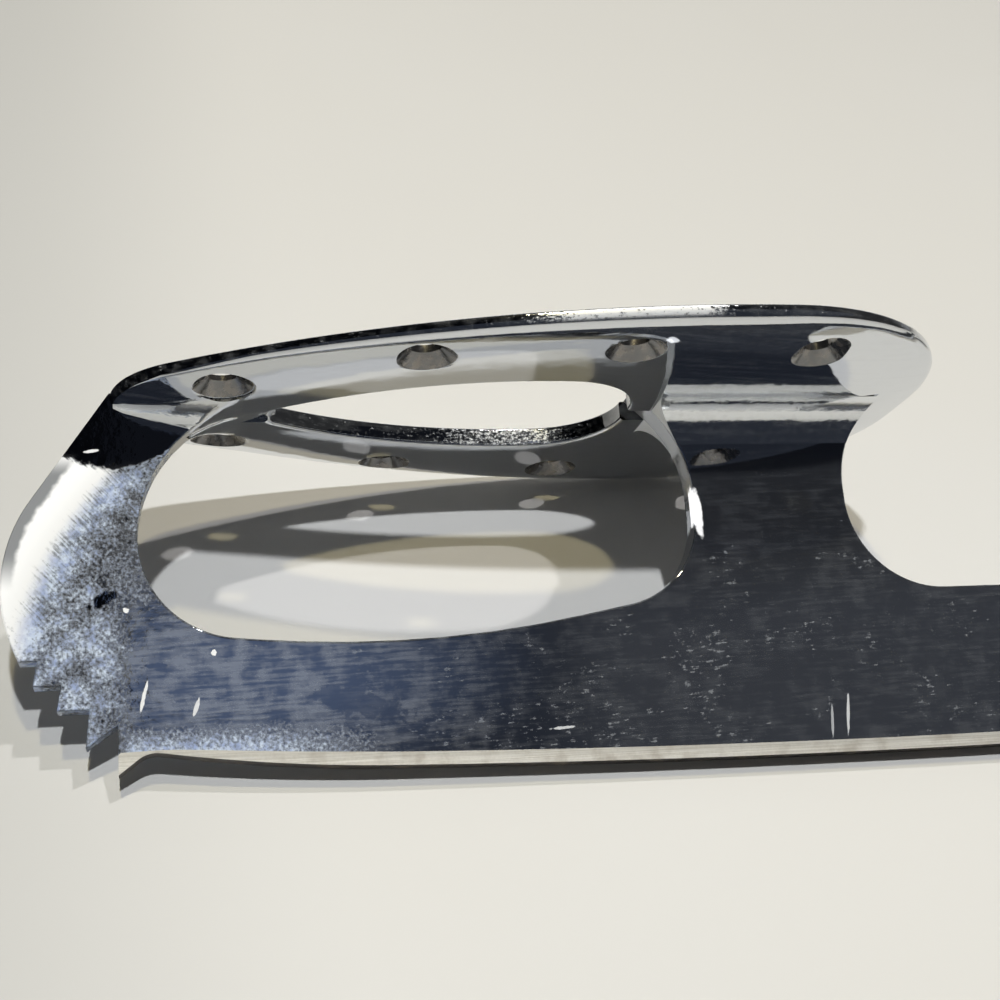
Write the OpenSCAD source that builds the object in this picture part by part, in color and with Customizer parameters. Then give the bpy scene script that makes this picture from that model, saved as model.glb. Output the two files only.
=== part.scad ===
// Figure skate blade: one steel blank brazed through a sole plate and a heel plate.
// Lengths are measured back from the sole plate's front tip, heights up from the ice.

/* [Runner] */
// Thickness of the steel blank
blade_t = 4; // [3.2:0.1:5]
// Radius of the rocker along the running edge
rocker_r = 2134; // [1800:1:2750]
// Place of the lowest point of the rocker
rocker_low = 118; // [95:1:140]
// Radius of the tighter curve behind the toe picks
spin_r = 245; // [150:5:450]
// Place where the tighter curve begins
spin_start = 37.5; // [28:0.5:45]
// Height of the runner between the two rear posts
runner_h = 24.2; // [19:0.1:27]
// Radius of the hollow ground along the running edge
hollow_r = 11.1; // [8:0.1:16]
// Flat land left beside the hollow at each edge
edge_land = 0.1; // [0.05:0.01:0.3]
// Length of the tail behind the heel plate
tail_l = 38.6; // [30:0.1:50]
// Height of the tail at its end
tail_h = 11; // [7:0.5:15]
// Rounding of the tail's upper corner
tail_round = 6; // [2:0.5:8]

/* [Toe picks] */
// Places of the tooth tips above the drag pick
pick_x = [-12, -10.1, -7, -3.3]; // [-16:0.1:0]
// Heights of the tooth tips above the drag pick
pick_z = [17.7, 14.3, 10.9, 5.8]; // [5:0.1:20]
// Forward lean of each tooth's front face
pick_rake = 0.5; // [0:0.1:1]
// Rounding worn on the tooth tips
pick_round = 0.25; // [0.05:0.05:0.4]
// Place of the drag pick, the lowest tooth
drag_x = 0.9; // [0:0.1:3]
// Height of the drag pick's tip
drag_z = 2; // [1.5:0.1:3.5]
// Depth of the notch in front of the drag pick
drag_notch = 6.7; // [5:0.1:8]
// Length of the ground relief behind the drag pick
relief_l = 3.9; // [2.5:0.1:5]
// Rounding of that relief
relief_r = 4; // [1:0.5:6]
// Forward reach of the nose's corner before it is rounded
nose_reach = 17.5; // [15:0.1:22]
// Height of the nose's corner
nose_z = 30; // [27:0.5:35]
// Rounding of the nose
nose_r = 22; // [12:0.5:24]

/* [Posts] */
// Place where the toe post's front edge reaches the top of the sole plate
toe_top = 0; // [-1:0.1:3]
// Front wall of the loop, the toe post's rear edge
loop_front = 3.7; // [2:0.1:8]
// Rear wall of the loop, the middle post's front edge
loop_rear = 84.9; // [78:0.1:90]
// Lowest corner of the loop's floor along the blade
floor_x = 42.4; // [35:0.1:50]
// Height of that corner
floor_z = 17.2; // [14:0.1:20]
// Heights of the floor's front and rear corners
floor_ends = [21.4, 25.1]; // [18:0.1:30]
// Rounding of the loop's top front corner
loop_top_r = 20.3; // [10:0.5:24]
// Roundings of the loop's lower corners, front and rear
loop_low_r = [14.7, 13.9]; // [6:0.1:16]
// Rounding of the loop's floor
floor_r = 163; // [100:1:220]
// Knee of the middle post, where its front edge leans forward
knee_drop = 8; // [6:0.1:12]
// Rounding of that knee
knee_r = 19; // [8:1:26]
// Width of the middle post at its neck
mid_neck = 24.3; // [20:0.1:30]
// Distance of the heel post's front edge behind the heel plate's front edge
heel_set = 21.6; // [16:0.1:26]
// Width of the heel post at its neck
heel_neck = 26; // [22:0.5:32]
// Rounding where a post grows out of the runner
root_r = 14.3; // [8:0.1:20]
// Height over which a post flares out under its plate
flare_h = 5.3; // [3:0.1:7]
// Rounding of that flare
flare_r = 18.4; // [8:0.1:24]

/* [Plates] */
// Thickness of both pressed plates
plate_t = 3; // [2.6:0.1:4]
// Bevel around the underside of each plate
plate_bevel = 0.9; // [0.4:0.1:1.6]
// Height of the sole plate's underside
sole_h = 52.8; // [48:0.1:58]
// Length of the sole plate
sole_l = 122; // [116:0.5:130]
// Greatest width of the sole plate
sole_w = 70.8; // [64:0.2:76]
// Place of the sole plate's greatest width
sole_wide = 89; // [80:0.5:90]
// Radius of the sole plate's front tip
sole_nose_r = 16; // [10:0.5:20]
// Radius of the sole plate's rear corners
sole_corner_r = 31.5; // [20:0.5:33]
// Front end of the opening in the sole plate
cut_front = 21.9; // [20:0.1:26]
// Rear end of that opening
cut_rear = 76.1; // [72:0.1:77]
// Greatest width of that opening
cut_w = 28; // [20:0.2:32]
// Place of that opening's greatest width
cut_wide = 60.7; // [52:0.1:64]
// Radius of that opening's front end
cut_nose_r = 3.7; // [2.6:0.1:5]
// Radius of that opening's rear corners
cut_corner_r = 12; // [6:0.5:12.5]
// Height of the heel plate's underside
heel_h = 64; // [58:0.1:70]
// Length of the blade from the sole plate's tip to the heel plate's end
size_l = 279.4; // [274:0.1:285]
// Length of the heel plate
heel_l = 70; // [66:0.5:75]
// Greatest width of the heel plate
heel_w = 58; // [52:0.5:64]
// Place of its greatest width ahead of the heel plate's rear end
heel_wide = 42; // [34:0.5:48]
// Radius of the heel plate's rear end
heel_nose_r = 22; // [14:0.5:25]
// Radius of the heel plate's front corners
heel_corner_r = 9; // [4:0.5:14]

/* [Screw holes] */
// Diameter of each screw hole
hole_d = 4.8; // [4:0.1:5.4]
// Width of the cross slots
slot_d = 4.2; // [3.6:0.1:5]
// End to end length of the cross slots
slot_l = 6.5; // [5.4:0.1:9]
// Depth of every countersink
sink = 1.8; // [1:0.1:2.2]
// Places of the sole plate's hole pairs and, last, its pair of slots
sole_hole_x = [15.5, 42.1, 70.6, 98]; // [10:0.1:110]
// Distances across each of those pairs
sole_hole_w = [22.8, 45.4, 51.6, 50.6]; // [20:0.1:56]
// Places of the heel plate's slots and holes ahead of its rear end
heel_hole_x = [56, 18]; // [12:0.5:62]
// Distances across each of those pairs
heel_hole_w = [40, 33]; // [24:0.5:44]

/* [Brazing] */
// Gap that the braze fills around each tenon
braze_gap = 0.1; // [0.05:0.01:0.2]
// Reach of the middle and heel fillets across a plate's underside
fillet_w = 6; // [4:0.1:7]
// Reach of the middle and heel fillets down a post
fillet_d = 5.4; // [3:0.1:6.5]
// Reach of the toe fillets across the plate's underside
toe_fillet_w = 4; // [2.5:0.1:5.5]
// Reach of the toe fillets down the post
toe_fillet_d = 2; // [1.2:0.1:3]
// Length of the shoulder beside a tenon
shoulder = 4.6; // [3:0.1:6]
// Thickness of the toe tenon's tip in the plate opening
tip_t = 1.2; // [0.6:0.1:2]

/* [Hidden] */
$fn = 48;
ring_fn = 2400;
hollow_fn = 180;
arc_step = 4;
arc_share = 0.999;
span_n = 5;
span_ease = 0.2;
sliver = 0.01;
over = 1;
plated = [0.74, 0.76, 0.79];
steel = [0.60, 0.62, 0.66];
braze = [0.80, 0.81, 0.83];
sole_top = sole_h + plate_t;
heel_top = heel_h + plate_t;
heel_front = size_l - heel_l + heel_set;
heel_rear = heel_front + heel_neck;
tail_end = size_l + tail_l;
mid_rear = loop_rear + mid_neck;
loop_top = sole_top - tip_t;
cut_tip = cut_front + cut_nose_r / 2;
mid_tenon = mid_rear + flare_h - shoulder;
mid_tip = loop_rear - knee_drop;
heel_tenon_front = heel_front - flare_h + shoulder;
heel_tenon_rear = heel_rear + flare_h - shoulder;
slot_w = blade_t + 2 * braze_gap;
origin_x = sole_hole_x[1];

// Height of the running edge at a place along the blade
function rocker_z(x) = rocker_r - sqrt(pow(rocker_r, 2) - pow(x - rocker_low, 2));
spin_lean = asin((spin_start - rocker_low) / rocker_r);
spin_c = [spin_start - spin_r * sin(spin_lean), rocker_z(spin_start) + spin_r * cos(spin_lean)];
function spin_z(x) = spin_c.y - sqrt(pow(spin_r, 2) - pow(x - spin_c.x, 2));
function edge_z(x) = x < spin_start ? spin_z(x) : rocker_z(x);

// Points of an arc about c from angle a0 to a1
function arc(c, r, a0, a1) =
    let (n = max(2, ceil(abs(a1 - a0) / arc_step)))
    [for (i = [0 : n]) c + r * [cos(a0 + (a1 - a0) * i / n), sin(a0 + (a1 - a0) * i / n)]];

// A closed outline from corners [x, y, radius], each corner rounded as far as its sides allow
function flat2(p) = [p.x, p.y];
function unit(v) = v / norm(v);
function side(p, i, step) = flat2(p[(i + step + len(p)) % len(p)]) - flat2(p[i]);
function half_angle(p, i) = acos(max(-1, min(1, unit(side(p, i, -1)) * unit(side(p, i, 1))))) / 2;
function run_in(p, i) = p[i].z == 0 ? 0 : p[i].z / tan(half_angle(p, i));
function fit(p, i, step) =
    let (both = run_in(p, i) + run_in(p, (i + step + len(p)) % len(p)))
    both == 0 ? 1 : min(1, norm(side(p, i, step)) / both);
function corner(p, i) =
    let (b = flat2(p[i]), u = unit(side(p, i, -1)), v = unit(side(p, i, 1)), h = half_angle(p, i))
    let (t = run_in(p, i) * arc_share * min(fit(p, i, -1), fit(p, i, 1)), r = t * tan(h))
    let (c = b + unit(u + v) * r / sin(h), f = b + u * t - c, g = b + v * t - c)
    let (a0 = atan2(f.y, f.x), turn = atan2(f.x * g.y - f.y * g.x, f * g))
    arc(c, r, a0, a0 + turn);
function rounded(p) = [for (i = [0 : len(p) - 1]) each (p[i].z == 0 ? [flat2(p[i])] : corner(p, i))];

// Half of a bullet outline: round tip at the origin, one long side arc, rounded rear corner
function bullet_half(l, w, wide, tip_r, corner_r, inset) =
    let (h = w / 2, r = (pow(wide - tip_r, 2) + h * h - tip_r * tip_r) / (2 * (h - tip_r)))
    let (c = [wide, h - r], tip = [tip_r, 0], back_x = l - corner_r)
    let (back = [back_x, c.y + sqrt(pow(r - corner_r, 2) - pow(back_x - wide, 2))])
    let (a_tip = atan2(tip.y - c.y, tip.x - c.x), a_back = atan2(back.y - c.y, back.x - c.x))
    concat(arc(tip, tip_r - inset, 180, a_tip), arc(c, r - inset, a_tip, a_back),
        arc(back, corner_r - inset, a_back, 0));
function bullet(l, w, wide, tip_r, corner_r, inset = 0) =
    let (half = bullet_half(l, w, wide, tip_r, corner_r, inset), n = len(half))
    concat(half, [for (i = [n - 1 : -1 : 1]) [half[i].x, -half[i].y]]);

// The row's origin is on the boot side of the sole plate, midway between its second pair of holes
module in_row_frame() {
    translate([-origin_x, 0, -sole_top]) children();
}

// Outline of the steel blank, from the toe post's top round by the heel, the running edge and the picks
edge_n = 26;
spin_n = 8;
relief_x = drag_x + relief_l;
tail_top = rocker_z(tail_end) + tail_h;
toe_post = [[toe_top, sole_top, 0], [cut_tip, sole_top, 0], [cut_tip, loop_top, 0]];
loop = [[loop_front, loop_top, loop_top_r], [loop_front, floor_ends[0], loop_low_r[0]],
    [floor_x, floor_z, floor_r], [loop_rear, floor_ends[1], loop_low_r[1]],
    [loop_rear, sole_top - knee_drop, knee_r]];
mid_post = [[mid_tip, sole_top, 0], [mid_tenon, sole_top, 0], [mid_tenon, sole_h, 0],
    [mid_rear + flare_h, sole_h, 0], [mid_rear, sole_h - flare_h, flare_r],
    [mid_rear, rocker_z(mid_rear) + runner_h, root_r]];
span_at = [for (i = [0 : span_n - 1]) span_ease + (1 - 2 * span_ease) * i / (span_n - 1)];
span_x = [for (s = span_at) mid_rear + (heel_front - mid_rear) * s];
span = [for (x = span_x) [x, rocker_z(x) + runner_h, 0]];
heel_post = [[heel_front, rocker_z(heel_front) + runner_h, root_r],
    [heel_front, heel_h - flare_h, flare_r], [heel_front - flare_h, heel_h, 0],
    [heel_tenon_front, heel_h, 0], [heel_tenon_front, heel_top, 0],
    [heel_tenon_rear, heel_top, 0], [heel_tenon_rear, heel_h, 0],
    [heel_rear + flare_h, heel_h, 0], [heel_rear, heel_h - flare_h, flare_r],
    [heel_rear, rocker_z(heel_rear) + runner_h, root_r]];
tail = [[tail_end, tail_top, tail_round], [tail_end, rocker_z(tail_end), 0]];
edge_x = [for (i = [1 : edge_n]) tail_end + (spin_start - tail_end) * i / edge_n];
spin_x = [for (i = [1 : spin_n]) spin_start + (relief_x + relief_r / 2 - spin_start) * i / spin_n];
edge = [for (x = concat(edge_x, spin_x)) [x, edge_z(x), 0]];
drag_pick = [[relief_x, edge_z(relief_x), relief_r], [drag_x, drag_z, pick_round],
    [drag_x, drag_z + drag_notch, pick_round]];
picks = [for (i = [len(pick_x) - 1 : -1 : 0])
    each concat([[pick_x[i], pick_z[i], pick_round]],
        i > 0 ? [[pick_x[i] + pick_rake, pick_z[i - 1], pick_round]] : [])];
nose = [[-nose_reach, nose_z, nose_r]];
blank_outline = rounded(concat(toe_post, loop, mid_post, span, heel_post, tail, edge,
    drag_pick, picks, nose));

module blade_blank() {
    color(steel)
    in_row_frame()
    difference() {
        translate([0, blade_t / 2, 0]) rotate([90, 0, 0])
            linear_extrude(blade_t) polygon(blank_outline);
        running_hollow();
    }
}

// The hollow ground into the running edge, which leaves an inside and an outside edge
module running_hollow() {
    half_w = blade_t / 2 - edge_land;
    depth = hollow_r - sqrt(pow(hollow_r, 2) - pow(half_w, 2));
    ring_r = rocker_r + hollow_r - depth;
    first = asin((spin_start - rocker_low) / rocker_r);
    sweep = asin((tail_end - rocker_low) / rocker_r) + over - first;
    translate([rocker_low, 0, rocker_r]) rotate([90, 0, 0]) rotate([0, 0, first - 90])
        rotate_extrude(angle = sweep, $fn = ring_fn)
            translate([ring_r, 0]) circle(r = hollow_r, $fn = hollow_fn);
}

// A flat plate with a bevel around its underside
module plate_slab(l, w, wide, tip_r, corner_r) {
    intersection() {
        linear_extrude(plate_t) polygon(bullet(l, w, wide, tip_r, corner_r));
        hull() {
            linear_extrude(sliver) polygon(bullet(l, w, wide, tip_r, corner_r, plate_bevel));
            translate([0, 0, plate_t + over]) linear_extrude(sliver)
                polygon(bullet(l, w, wide, tip_r, corner_r, plate_bevel - plate_t - over));
        }
    }
}

// A screw hole of diameter d countersunk from the underside
module screw_hole(d) {
    translate([0, 0, -over]) cylinder(d = d, h = plate_t + 2 * over);
    translate([0, 0, -over]) cylinder(d1 = d + 2 * (sink + over), d2 = d, h = sink + over);
}

// A countersunk slot that runs across the blade
module screw_slot() {
    stretch = slot_l - slot_d;
    half = slot_d / 2;
    rim = half + sink + over;
    for (y = [-stretch / 2, stretch / 2]) translate([0, y, 0]) screw_hole(slot_d);
    translate([0, stretch / 2, 0]) rotate([90, 0, 0]) linear_extrude(stretch)
        polygon([[-rim, -over], [rim, -over], [half, sink], [half, plate_t + over],
            [-half, plate_t + over], [-half, sink]]);
}

// A pair of holes or slots, one on each side of the blade
module pair(x, w) {
    for (y = [-w / 2, w / 2]) translate([x, y, 0]) children();
}

// The through slot that takes a post's tenon
module tenon_slot(x0, x1) {
    translate([x0, -slot_w / 2, -over]) cube([x1 - x0, slot_w, plate_t + 2 * over]);
}

module sole_plate() {
    color(plated)
    in_row_frame() translate([0, 0, sole_h])
    difference() {
        plate_slab(sole_l, sole_w, sole_wide, sole_nose_r, sole_corner_r);
        translate([cut_front, 0, -over]) linear_extrude(plate_t + 2 * over)
            polygon(bullet(cut_rear - cut_front, cut_w, cut_wide - cut_front, cut_nose_r, cut_corner_r));
        tenon_slot(toe_top - over, mid_tenon + braze_gap);
        for (i = [0 : 2]) pair(sole_hole_x[i], sole_hole_w[i]) screw_hole(hole_d);
        pair(sole_hole_x[3], sole_hole_w[3]) screw_slot();
    }
}

module heel_plate() {
    color(plated)
    in_row_frame() translate([0, 0, heel_h])
    difference() {
        translate([size_l, 0, 0]) mirror([1, 0, 0])
            plate_slab(heel_l, heel_w, heel_wide, heel_nose_r, heel_corner_r);
        tenon_slot(heel_tenon_front - braze_gap, heel_tenon_rear + braze_gap);
        pair(size_l - heel_hole_x[0], heel_hole_w[0]) screw_slot();
        pair(size_l - heel_hole_x[1], heel_hole_w[1]) screw_hole(hole_d);
    }
}

// One concave braze fillet in the corner between a post and a plate's underside at height h, w across
// and d down, as long as the post is wide there; hand is 1 right, -1 left
module braze_fillet(x0, x1, h, w, d, hand) {
    r = (w * w + d * d) / (2 * d);
    intersection() {
        translate([x0, hand * blade_t / 2, h]) rotate([90, 0, 90]) linear_extrude(x1 - x0)
            difference() {
                translate([hand > 0 ? 0 : -w, -d]) square([w, d]);
                translate([hand * w, -r]) circle(r = r);
            }
        translate([0, sole_w / 2, 0]) rotate([90, 0, 0]) linear_extrude(sole_w) polygon(blank_outline);
    }
}

// The toe fillet also ends at the rim of the sole plate's underside
module toe_braze(hand) {
    color(braze)
    in_row_frame()
    intersection() {
        braze_fillet(toe_top, cut_front, sole_h, toe_fillet_w, toe_fillet_d, hand);
        linear_extrude(sole_top)
            polygon(bullet(sole_l, sole_w, sole_wide, sole_nose_r, sole_corner_r, plate_bevel));
    }
}

module mid_braze(hand) {
    color(braze)
    in_row_frame()
    braze_fillet(mid_tip, mid_rear + flare_h, sole_h, fillet_w, fillet_d, hand);
}

module heel_braze(hand) {
    color(braze)
    in_row_frame()
    braze_fillet(heel_front - flare_h, heel_rear + flare_h, heel_h, fillet_w, fillet_d, hand);
}

module toe_braze_left() toe_braze(-1);
module toe_braze_right() toe_braze(1);
module mid_braze_left() mid_braze(-1);
module mid_braze_right() mid_braze(1);
module heel_braze_left() heel_braze(-1);
module heel_braze_right() heel_braze(1);

blade_blank();
sole_plate();
heel_plate();
toe_braze_left();
toe_braze_right();
mid_braze_left();
mid_braze_right();
heel_braze_left();
heel_braze_right();
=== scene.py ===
import bpy
import math
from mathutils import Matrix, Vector, kdtree


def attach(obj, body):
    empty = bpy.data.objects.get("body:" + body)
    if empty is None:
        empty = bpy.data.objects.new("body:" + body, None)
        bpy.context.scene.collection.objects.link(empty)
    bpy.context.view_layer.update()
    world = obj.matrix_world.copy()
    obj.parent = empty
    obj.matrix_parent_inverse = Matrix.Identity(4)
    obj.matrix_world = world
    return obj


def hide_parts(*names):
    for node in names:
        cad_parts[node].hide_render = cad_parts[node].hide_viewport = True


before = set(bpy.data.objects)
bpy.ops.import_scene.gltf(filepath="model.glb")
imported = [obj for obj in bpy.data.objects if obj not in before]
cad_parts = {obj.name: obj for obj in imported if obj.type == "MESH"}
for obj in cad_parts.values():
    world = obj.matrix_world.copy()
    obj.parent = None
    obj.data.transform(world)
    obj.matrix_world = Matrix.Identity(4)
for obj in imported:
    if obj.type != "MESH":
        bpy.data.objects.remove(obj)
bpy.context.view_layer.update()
print("frame loaded with", len(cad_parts), "nodes")

mm = 0.001
rowOrigin = (42.1, 0.0, 55.8)  # mm from the sole plate's tip, the middle plane and the ice


# small tools used on every piece
def spot(x, y, z):  # a place in mm, as written for the blade, in the frame's metres
    return Vector((x - rowOrigin[0], y - rowOrigin[1], z - rowOrigin[2])) * mm


def inMm(co):  # the other way round
    return Vector((co.x / mm + rowOrigin[0], co.y / mm + rowOrigin[1], co.z / mm + rowOrigin[2]))


def only(piece):
    bpy.ops.object.select_all(action="DESELECT")
    piece.select_set(True)
    bpy.context.view_layer.objects.active = piece


def pick(piece, kind, test):  # edit mode, with the matching elements selected
    only(piece)
    bpy.ops.object.mode_set(mode="EDIT")
    bpy.ops.mesh.select_mode(type=kind)
    bpy.ops.mesh.select_all(action="DESELECT")
    leaveEdit()
    items = {"VERT": piece.data.vertices, "EDGE": piece.data.edges, "FACE": piece.data.polygons}[kind]
    for item in items:
        item.select = test(item)
    bpy.ops.object.mode_set(mode="EDIT")


def leaveEdit():
    bpy.ops.object.mode_set(mode="OBJECT")


def addMesh(name, primitive, **values):
    bpy.ops.object.select_all(action="DESELECT")
    primitive(**values)
    piece = bpy.context.object
    piece.name = name
    piece.data.name = name
    return piece


def ring(name, points):  # a circle whose points are pulled onto an outline
    circle = bpy.ops.mesh.primitive_circle_add
    piece = addMesh(name, circle, vertices=len(points), radius=mm, fill_type="NOTHING", location=(0, 0, 0))
    for vertex, point in zip(piece.data.vertices, points):
        vertex.co = point
    return piece


def fillRing(piece):
    pick(piece, "EDGE", lambda edge: True)
    bpy.ops.mesh.edge_face_add()
    leaveEdit()


def pushRing(piece, points):  # extrudes the open rim that was added last onto the next outline
    count = len(points)
    first = len(piece.data.vertices) - count
    pick(piece, "EDGE", lambda edge: min(edge.vertices) >= first)
    bpy.ops.mesh.extrude_edges_move()
    leaveEdit()
    for vertex, point in zip(list(piece.data.vertices)[-count:], points):
        vertex.co = point


def loft(name, rings):  # closed form through a row of outlines
    piece = ring(name, rings[0])
    for points in rings[1:]:
        pushRing(piece, points)
    last = len(piece.data.vertices) - len(rings[0])
    for rim in (lambda i: i < len(rings[0]), lambda i: i >= last):
        pick(piece, "EDGE", lambda edge: all(rim(i) for i in edge.vertices))
        bpy.ops.mesh.edge_face_add()
        leaveEdit()
    faceOut(piece)
    return piece


def faceOut(piece):
    pick(piece, "FACE", lambda face: True)
    bpy.ops.mesh.normals_make_consistent(inside=False)
    leaveEdit()


def bevelEdges(piece, test, width, segments):
    pick(piece, "EDGE", test)
    bpy.ops.mesh.bevel(offset=width * mm, segments=segments, affect="EDGES", clamp_overlap=False)
    leaveEdit()


def useModifier(piece, kind, **values):
    modifier = piece.modifiers.new(kind.title(), kind)
    for key, value in values.items():
        setattr(modifier, key, value)
    only(piece)
    bpy.ops.object.modifier_apply(modifier=modifier.name)


def smooth(piece, angle=32):
    only(piece)
    bpy.ops.object.shade_smooth_by_angle(angle=math.radians(angle))
    useModifier(piece, "WEIGHTED_NORMAL", keep_sharp=True, weight=90)


def joinInto(first, others):
    only(first)
    for other in others:
        other.select_set(True)
    bpy.ops.object.join()
    return first


def cutWith(piece, cutter, operation="DIFFERENCE"):
    useModifier(piece, "BOOLEAN", object=cutter, operation=operation, solver="EXACT")
    only(cutter)
    bpy.ops.object.delete()


def finishPiece(piece, nodes, slot, *materials):
    for material in materials:
        piece.data.materials.append(material)
    smooth(piece)
    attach(piece, "root")
    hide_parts(*nodes)


# outlines
def roundCorners(corners, step=2.5):  # corners are (x, z, radius); a radius gives way to short sides
    count = len(corners)

    def at(i):
        return Vector(corners[i % count][:2])

    def ways(i):
        return (at(i - 1) - at(i)).normalized(), (at(i + 1) - at(i)).normalized()

    def half(i):
        u, v = ways(i)
        return math.acos(max(-1.0, min(1.0, u.dot(v)))) / 2

    def runIn(i):
        radius = corners[i % count][2]
        return radius / math.tan(half(i)) if radius else 0.0

    def room(i, j):
        both = runIn(i) + runIn(j)
        return min(1.0, (at(j) - at(i)).length / both) if both else 1.0

    points = []
    for i in range(count):
        if not corners[i][2]:
            points.append(at(i))
            continue
        u, v = ways(i)
        run = runIn(i) * 0.999 * min(room(i, i - 1), room(i, i + 1))
        radius = run * math.tan(half(i))
        centre = at(i) + (u + v).normalized() * (radius / math.sin(half(i)))
        f = at(i) + u * run - centre
        g = at(i) + v * run - centre
        start = math.atan2(f.y, f.x)
        turn = math.atan2(f.x * g.y - f.y * g.x, f.dot(g))
        steps = max(2, math.ceil(abs(math.degrees(turn)) / step))
        for k in range(steps + 1):
            a = start + turn * k / steps
            points.append(centre + Vector((math.cos(a), math.sin(a))) * radius)
    return points


def sweepArc(centre, radius, a0, a1, steps):
    turns = [a0 + (a1 - a0) * k / steps for k in range(steps + 1)]
    return [Vector((centre[0] + radius * math.cos(a), centre[1] + radius * math.sin(a))) for a in turns]


pearSteps = (24, 60, 30)  # along the tip, the side and the rear corner


def pearHalf(length, width, wide, tipR, cornerR, inset=0.0, gap=0.0):  # a plate's side from its tip to its rear
    h = width / 2
    r = ((wide - tipR) ** 2 + h * h - tipR * tipR) / (2 * (h - tipR))
    c = (wide, h - r)
    backX = length - cornerR
    back = (backX, c[1] + math.sqrt((r - cornerR) ** 2 - (backX - wide) ** 2))
    aStart = math.pi - math.asin(gap / (tipR - inset))
    aTip = math.atan2(-c[1], tipR - c[0])
    aBack = math.atan2(back[1] - c[1], back[0] - c[0])
    tipSteps, sideSteps, cornerSteps = pearSteps
    side = sweepArc((tipR, 0), tipR - inset, aStart, aTip, tipSteps)
    side += sweepArc(c, r - inset, aTip, aBack, sideSteps)[1:]
    return side + sweepArc(back, cornerR - inset, aBack, 0.0, cornerSteps)[1:]


def acrossFrom(points):  # the other side, walked back
    return [Vector((p.x, -p.y)) for p in reversed(points)]


def nearTo(points, reach=0.004):  # tells whether a flat place lies on one of the points
    tree = kdtree.KDTree(len(points))
    for i, p in enumerate(points):
        tree.insert((p.x, p.y, 0), i)
    tree.balance()

    def which(u, v):
        found = tree.find((u, v, 0))
        return found[1] if found[2] < reach else None
    return which


def lerp(table, x):
    for (x0, z0), (x1, z1) in zip(table, table[1:]):
        if x <= x1:
            return z0 + (z1 - z0) * (x - x0) / (x1 - x0)
    return table[-1][1]


# the steel blank
blank = {
    "thickness": 4.0, "edgeRound": 0.28, "roundSegments": 3,
    "rocker": (118.0, 2134.0), "spin": (37.5, 245.0),
    "hollowR": 11.1, "land": 0.1, "hollowFrom": (9.0, 30.0),
    "layers": [-2.0, -1.9, -1.3, -0.65, 0.0, 0.65, 1.3, 1.9, 2.0],
    "dragTip": (0.9, 2.0), "dragNotch": 6.7, "relief": (3.9, 4.0),
    "picks": [(-3.3, 5.8), (-7.0, 10.9), (-10.1, 14.3), (-12.0, 17.7)], "pickRake": 0.5,
    "nose": (-17.5, 30.0, 22.0),
    "toePost": [(0.0, 55.8), (23.75, 55.8), (23.75, 54.6)],
    "loop": [(3.7, 54.6, 20.3), (3.7, 21.4, 14.7), (42.4, 17.2, 163.0), (84.9, 25.1, 13.9), (84.9, 47.8, 19.0)],
    "midTip": 76.9, "midRear": 109.2, "heelFront": 231.0, "heelRear": 257.0,
    "flare": (5.3, 18.4), "shoulder": 4.6, "rootR": 14.3, "runnerH": 24.2,
    "soleH": 52.8, "heelH": 64.0, "plateT": 3.0,
    "tail": (318.0, 11.0, 6.0),
    "edgeSteps": (60, 24), "reliefLead": 2.0, "backSpan": (0.2, 0.05, 13),
    "stripH": 1.8, "stripTaper": 0.06, "stripJoin": 38.5, "sharpFrom": (50.3, 61.5), "waist": 170.0,
    "stripFront": [(0.9, 4.95), (3.7, 5.02), (6.3, 5.08), (8.9, 5.0), (11.5, 4.84), (16.8, 4.5), (24.8, 3.98)],
}


def rockerZ(x):
    low, r = blank["rocker"]
    return r - math.sqrt(r * r - (x - low) ** 2)


def edgeZ(x):  # the running edge: the long rocker, then the tighter curve behind the picks
    start, r = blank["spin"]
    if x >= start:
        return rockerZ(x)
    lean = math.asin((start - blank["rocker"][0]) / blank["rocker"][1])
    cx, cz = start - r * math.sin(lean), rockerZ(start) + r * math.cos(lean)
    return cz - math.sqrt(r * r - (x - cx) ** 2)


def stripZ(x):  # top of the bare ground strip along the running edge
    join = (blank["stripJoin"], rockerZ(blank["stripJoin"]) + blank["stripH"])
    return rockerZ(x) + blank["stripH"] if x >= join[0] else lerp(blank["stripFront"] + [join], x)


def blankEdge():  # running edge from the tail to the drag pick's tip
    end, start = blank["tail"][0], blank["spin"][0]
    dragX, dragZ = blank["dragTip"]
    reliefX = dragX + blank["relief"][0]
    steps, frontSteps = blank["edgeSteps"]
    xs = [end + (start - end) * i / steps for i in range(steps + 1)]
    xs += [start + (reliefX + blank["reliefLead"] - start) * i / frontSteps for i in range(1, frontSteps + 1)]
    corners = [(x, edgeZ(x), 0.0) for x in xs]
    corners += [(reliefX, edgeZ(reliefX), blank["relief"][1]), (dragX, dragZ, 0.0)]
    return roundCorners(corners, 4)


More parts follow.
